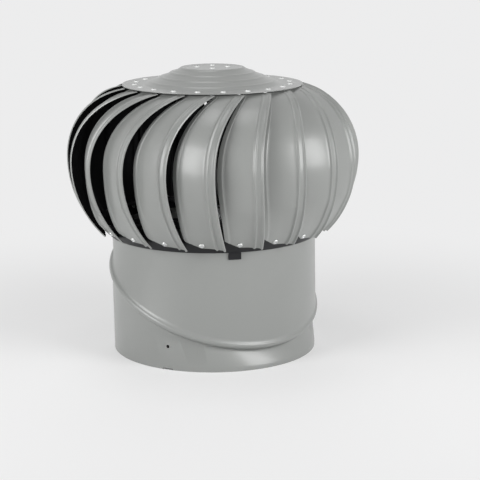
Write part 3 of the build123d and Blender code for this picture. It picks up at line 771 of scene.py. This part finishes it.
class VENTILATOR_OT_vanes(bpy.types.Operator):
    """Make the ring of curved vanes"""

    bl_idname = "ventilator.vanes"
    bl_label = "Vanes"

    def execute(self, context):
        vane = settings("vane")
        columns = len(inset_shares(vane.width)) - 1
        rows = MERIDIAN_STEPS + 2 * TAB_STEPS
        model = bmesh.new()
        bmesh.ops.create_grid(model, x_segments=columns, y_segments=rows, size=0.5)
        for corner in model.verts:
            column = round((corner.co.x + 0.5) * columns)
            row = round((corner.co.y + 0.5) * rows)
            corner.co = vane_place(row, column, vane.azimuth)
        seat, out, foot = ring_rivet_place(vane.azimuth, 0)
        up = out.cross(eastward(foot))
        below = -(up * cos(vane.foot_angle) + eastward(foot) * sin(vane.foot_angle))
        bmesh.ops.bisect_plane(
            model,
            geom=model.verts[:] + model.edges[:] + model.faces[:],
            plane_co=seat + below * vane.foot_distance,
            plane_no=below,
            clear_outer=True,
        )
        outside = thicken(model, vane.sheet, lambda point: point - Vector((0, 0, vane.equator)))
        outer_faces = set(outside)
        # Outer faces take the grey paint. Inner faces take the near-black inside finish, painted
        # shade for the dark interior between the blades.
        for face in model.faces:
            outer = face in outer_faces or face.calc_area() < FOOT_SLIVER
            face.material_index = 0 if outer else 1
        for index in range(vane.count):
            mesh = model.copy()
            turn = Matrix.Rotation(2 * pi / vane.count * index, 3, "Z")
            bmesh.ops.rotate(mesh, verts=mesh.verts, cent=(0, 0, 0), matrix=turn)
            node = f"vane_{index + 1:02d}"
            put(mesh, node + "_skin", "rotor", ["grey_paint", "inside"], [node], crease=30)
        model.free()
        return {"FINISHED"}


# ---- rivets -------------------------------------------------------------------------------

RIVET_STEPS = 20         # round a rivet
DOME_STEPS = 5           # up its head


def add_rivet(mesh, point, out, grip):
    """A blind rivet whose head sits at a point and whose tail closes below the grip."""
    rivet = settings("rivet")
    leans = [pi / 2 * k / DOME_STEPS for k in range(DOME_STEPS)]
    dome = [(rivet.head_radius * cos(t), rivet.head_height * sin(t)) for t in leans]
    dome = [(radius, height) for radius, height in dome if radius > rivet.pit_radius]
    pit_floor = rivet.head_height * 0.35
    profile = [
        (0, pit_floor),
        (rivet.pit_radius * 0.7, pit_floor),
        (rivet.pit_radius, rivet.head_height * 0.98),
        *dome[::-1],
        (rivet.shank_radius, 0),
        (rivet.shank_radius, -grip),
        (rivet.tail_radius, -grip),
        (rivet.tail_radius * 0.9, -grip - rivet.tail_height * 0.7),
        (rivet.tail_radius * 0.6, -grip - rivet.tail_height),
        (0, -grip - rivet.tail_height),
    ]
    single = bmesh.new()
    section = line_of(single, [(radius, 0, height) for radius, height in profile])
    full_spin(single, section, RIVET_STEPS)
    bmesh.ops.recalc_face_normals(single, faces=single.faces)
    for face in single.faces:
        deep = all(Vector(vert.co.xy).length < rivet.pit_radius * 1.01 for vert in face.verts)
        face.material_index = 1 if deep and face.calc_center_median().z > 0 else 0
    place = Matrix.Translation(point) @ out.to_track_quat("Z", "Y").to_matrix().to_4x4()
    bmesh.ops.transform(single, matrix=place, verts=single.verts)
    data = bpy.data.meshes.new("rivet")
    single.to_mesh(data)
    single.free()
    mesh.from_mesh(data)
    bpy.data.meshes.remove(data)


class VENTILATOR_OT_rivets(bpy.types.Operator):
    """Make the rivets of the base ring and the cap"""

    bl_idname = "ventilator.rivets"
    bl_label = "Rivets"

    def execute(self, context):
        vane, ring, cap, rivet = (settings(name) for name in ("vane", "ring", "cap", "rivet"))
        pitch = 2 * pi / vane.count
        mesh = bmesh.new()
        for index in range(vane.count):
            head = vane.sheet + ring.gap + rivet.seat
            point, out, _foot = ring_rivet_place(vane.azimuth + pitch * index, head)
            add_rivet(mesh, point, out, head + ring.sheet + rivet.seat)
        put(mesh, "base_ring_rivets", "rotor", ["rivet_aluminium", "zinc_steel"], ["ring_rivets"])

        brim_radius, brim_height = cap_brim()
        tab_azimuth = offset_azimuth(vane.crown_angle, vane.azimuth, rivet.cap_inset)
        mesh = bmesh.new()
        for index in range(vane.count):
            azimuth = tab_azimuth + pitch * index
            point = around(azimuth, brim_radius - rivet.cap_edge, brim_height)
            add_rivet(mesh, point, Vector((0, 0, 1)), cap.sheet + vane.sheet)
        # The pits of the cap's rivets take the near-black inside finish, painted shade in their
        # mandrel holes.
        put(mesh, "cap_rim_rivets", "rotor", ["rivet_aluminium", "inside"], ["cap_rivets"])

        mesh = bmesh.new()
        for index in range(rivet.hub_count):
            azimuth = 2 * pi / rivet.hub_count * index
            point = around(azimuth, rivet.hub_radius, brim_height + cap.rise)
            add_rivet(mesh, point, Vector((0, 0, 1)), cap.sheet + rivet.flange)
        # The pits of the hub rivets take the near-black inside finish as well, painted shade in
        # their mandrel holes.
        put(mesh, "cap_hub_rivets", "rotor", ["rivet_aluminium", "inside"], ["hub_rivets"])
        return {"FINISHED"}


# ---- cap ----------------------------------------------------------------------------------

CAP_STEPS = 60           # down the dome's slope
ROUND_STEPS = 160        # round the cap and the base ring
FOLD = 0.002             # from a fold of the cap to the next corner of its section


def cap_profile():
    """Radius and height of the cap's top skin, from the middle to the brim's edge."""
    cap = settings("cap")
    brim_radius, brim_height = cap_brim()
    slope_end = brim_radius - cap.brim_width
    top = brim_height + cap.rise
    profile = [(0, top), (cap.flat_radius * 0.5, top), (cap.flat_radius - FOLD, top)]

    def slope(radius):
        share = (radius - cap.flat_radius) / (slope_end - cap.flat_radius)
        return top - cap.rise * min(1, max(0, share))

    pitch = (slope_end - cap.flat_radius - cap.step_start - cap.step_end) / (cap.step_count - 1)
    crests = [cap.flat_radius + cap.step_start + pitch * k for k in range(cap.step_count)]
    for k in range(CAP_STEPS + 1):
        radius = cap.flat_radius + (slope_end - cap.flat_radius) * k / CAP_STEPS
        ridge = sum(hump(radius - crest, cap.step_half) for crest in crests)
        profile.append((radius, slope(radius) + cap.step_height * ridge))
    brim = (slope_end + FOLD, brim_radius - cap.sheet, brim_radius)
    return profile + [(radius, brim_height) for radius in brim]


class VENTILATOR_OT_cap(bpy.types.Operator):
    """Make the stepped cap"""

    bl_idname = "ventilator.cap"
    bl_label = "Cap"

    def execute(self, context):
        mesh = bmesh.new()
        skin = line_of(mesh, [(radius, 0, height) for radius, height in cap_profile()])
        full_spin(mesh, skin, ROUND_STEPS)
        outside = set(thicken(mesh, settings("cap").sheet, lambda point: Vector((0, 0, 1))))
        for face in mesh.faces:
            # Faces that point downwards under the cap take the near-black inside finish, painted
            # shade under the cap.
            face.material_index = 0 if face in outside or face.normal.z > -0.5 else 1
        put(mesh, "cap_skin", "rotor", ["grey_paint", "inside"], ["cap"])
        return {"FINISHED"}


# ---- base ring ----------------------------------------------------------------------------


class VENTILATOR_OT_base_ring(bpy.types.Operator):
    """Make the ring under the vanes"""

    bl_idname = "ventilator.base_ring"
    bl_label = "Base Ring"

    def execute(self, context):
        vane, ring, rivet = settings("vane"), settings("ring"), settings("rivet")
        radius, height = meridian(rivet.ring_angle)
        depth = ring.standoff + vane.sheet / 2 + ring.gap
        out = Vector((cos(rivet.ring_angle), sin(rivet.ring_angle)))
        seat = Vector((radius, height)) - out * depth
        along = Vector((-out.y, out.x))
        low, high = seat - along * ring.seat_down, seat + along * ring.seat_up
        corners = [
            Vector((ring.bottom_radius, ring.bottom_height)),
            low,
            high,
            Vector((high.x - ring.flange, high.y)),
        ]
        mesh = bmesh.new()
        section = line_of(mesh, [(corner.x, 0, corner.y) for corner in corners])
        full_spin(mesh, section, ROUND_STEPS)
        thicken(mesh, ring.sheet, away_from_axis)
        put(mesh, "base_ring_skin", "rotor", ["black_paint"], ["base_ring"], 30, ring.edge_radius)
        return {"FINISHED"}


# ---- carried-over parts -------------------------------------------------------------------

KEPT_FINISHES = {
    "throat_brace": "black_paint",
    "rotor_spider": "black_paint",
    "spider_hub_rivets": "rivet_aluminium",
    "spider_rivets": "rivet_aluminium",
    "spindle": "zinc_steel",
    "spindle_nuts": "zinc_steel",
    "spindle_washers": "zinc_steel",
    "circlips": "zinc_steel",
    "upper_bearing_housing": "zinc_steel",
    "lower_bearing_housing": "zinc_steel",
    "lower_bearing_inner_ring": "bearing_steel",
    "lower_bearing_outer_ring": "bearing_steel",
    "lower_bearing_ball_set": "bearing_steel",
    "upper_bearing_inner_ring": "bearing_steel",
    "upper_bearing_outer_ring": "bearing_steel",
    "upper_bearing_ball_set": "bearing_steel",
}


class VENTILATOR_OT_inner_parts(bpy.types.Operator):
    """Give the brace, spindle, bearings and spider their finishes"""

    bl_idname = "ventilator.inner_parts"
    bl_label = "Inner Parts"

    def execute(self, context):
        for node, finish_name in KEPT_FINISHES.items():
            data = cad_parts[node].data
            data.materials.clear()
            data.materials.append(finish_named(finish_name))
        return {"FINISHED"}


# ---- stage --------------------------------------------------------------------------------

TOP_LIGHT_OFFSET = (-0.25, 0.1)    # of the light above, from the axis
FLOOR_WHITE = (0.97, 0.97, 0.97, 1.0)
FLOOR_STEPS = 96                   # round the floor


def add_area_light(name, place, aim, width, tall, power):
    """A rectangular lamp at a place, facing a point."""
    data = bpy.data.lights.new(name, "AREA")
    data.shape = "RECTANGLE"
    data.size, data.size_y = width, tall
    data.energy = power
    lamp = bpy.data.objects.new(name, data)
    lamp.location = place
    lamp.rotation_euler = (aim - place).to_track_quat("-Z", "Y").to_euler()
    bpy.context.scene.collection.objects.link(lamp)
    return lamp


def seen_directly(tree):
    """1 for the camera's rays and for mirrored or passed-on ones, 0 for light on the pieces."""
    light_path = tree.nodes.new("ShaderNodeLightPath")
    kinds = ("Camera", "Glossy", "Transmission")
    rays = [Term(tree, light_path.outputs[f"Is {kind} Ray"]) for kind in kinds]
    return rays[0] + rays[1] + rays[2]


class VENTILATOR_OT_stage(bpy.types.Operator):
    """Set the floor, background, lights and camera"""

    bl_idname = "ventilator.stage"
    bl_label = "Stage"

    def execute(self, context):
        scene = context.scene
        stage = settings("stage")
        tone = (*settings("finish").backdrop, 1.0)
        scene.view_settings.view_transform = "Standard"

        floor_mesh = bmesh.new()
        bmesh.ops.create_circle(
            floor_mesh, cap_ends=True, segments=FLOOR_STEPS, radius=stage.floor_radius
        )
        data = bpy.data.meshes.new("floor")
        floor_mesh.to_mesh(data)
        floor_mesh.free()
        floor = bpy.data.objects.new("floor", data)
        scene.collection.objects.link(floor)
        ground = Finish("Pale Floor", Roughness=1.0)
        ground.shader.inputs["Base Color"].default_value = FLOOR_WHITE
        ground.shader.inputs["Specular IOR Level"].default_value = 0.0
        glow = ground.add("ShaderNodeEmission", Color=tone, Strength=1.0)
        # inside the throat the floor gives no light of its own
        radius = settings("throat").radius
        measure = {"operation": "LENGTH"}
        away = ground.add("ShaderNodeVectorMath", measure, output=1, i0=ground.place)
        even = ground.add(
            "ShaderNodeMapRange",
            {"interpolation_type": "SMOOTHSTEP"},
            Value=away,
            **{"From Min": radius, "From Max": stage.shadow_reach, "To Min": stage.floor_glow},
        )
        mixed = ground.add(
            "ShaderNodeMixShader",
            i0=seen_directly(ground.tree) * even * (away > radius),
            i1=Term(ground.tree, ground.shader.outputs[0]),
            i2=glow,
        )
        ground.tree.links.new(mixed.socket, ground.tree.nodes["Material Output"].inputs["Surface"])
        data.materials.append(ground.material)

        world = bpy.data.worlds.new("Pale Room")
        scene.world = world
        world.use_nodes = True
        tree = world.node_tree
        background = tree.nodes["Background"]
        background.inputs["Color"].default_value = tone
        strength = stage.world_strength + seen_directly(tree) * (1 - stage.world_strength)
        plug(tree, background.inputs["Strength"], strength)

        aim = Vector((0, 0, settings("vane").equator))
        lamps = ((-1, "left_softbox", stage.left_power), (1, "right_softbox", stage.right_power))
        for side, name, power in lamps:
            azimuth = -pi / 2 + stage.side_azimuth * side
            place = around(azimuth, stage.side_distance, stage.side_height)
            add_area_light(name, place, aim, stage.side_width, stage.side_tall, power)
        place = Vector((*TOP_LIGHT_OFFSET, stage.top_height))
        add_area_light("top_softbox", place, aim, stage.top_width, stage.top_width, stage.top_power)
        place = Vector((0, stage.back_distance, stage.back_height))
        back = add_area_light(
            "back_softbox", place, aim, stage.back_width, stage.back_width, stage.back_power
        )
        back.visible_glossy = False

        data = bpy.data.cameras.new("camera")
        data.lens = stage.lens
        data.sensor_width = 36.0
        camera = bpy.data.objects.new("camera", data)
        look = (
            Matrix.Rotation(-stage.camera_yaw, 4, "Z")
            @ Matrix.Rotation(pi / 2 - stage.camera_pitch, 4, "X")
            @ Matrix.Rotation(stage.camera_roll, 4, "Z")
        )
        stand = Matrix.Translation((0, -stage.camera_distance, stage.camera_height))
        camera.matrix_world = stand @ look
        scene.collection.objects.link(camera)
        scene.camera = camera
        return {"FINISHED"}


# ---- panel and registration ---------------------------------------------------------------

OPERATORS = (
    VENTILATOR_OT_stage,
    VENTILATOR_OT_throat,
    VENTILATOR_OT_vanes,
    VENTILATOR_OT_cap,
    VENTILATOR_OT_base_ring,
    VENTILATOR_OT_rivets,
    VENTILATOR_OT_inner_parts,
)


class VENTILATOR_PT_panel(bpy.types.Panel):
    """Sizes and pieces of the ventilator"""

    bl_idname = "VENTILATOR_PT_panel"
    bl_label = "Roof Ventilator"
    bl_space_type = "VIEW_3D"
    bl_region_type = "UI"
    bl_category = "Ventilator"

    def draw(self, context):
        for name, group in SETTINGS.items():
            box = self.layout.box()
            box.label(text=name.capitalize())
            for key in group.__annotations__:
                box.prop(settings(name), key)
        for operator in OPERATORS:
            self.layout.operator(operator.bl_idname)


CLASSES = (*SETTINGS.values(), *OPERATORS, VENTILATOR_PT_panel)


def register():
    for item in CLASSES:
        bpy.utils.register_class(item)
    for name, group in SETTINGS.items():
        setattr(bpy.types.Scene, "ventilator_" + name, PointerProperty(type=group))


def unregister():
    for name in SETTINGS:
        delattr(bpy.types.Scene, "ventilator_" + name)
    for item in reversed(CLASSES):
        bpy.utils.unregister_class(item)


def main():
    register()
    for operator in OPERATORS:
        group, name = operator.bl_idname.split(".")
        getattr(getattr(bpy.ops, group), name)()


if __name__ == "__main__":
    main()
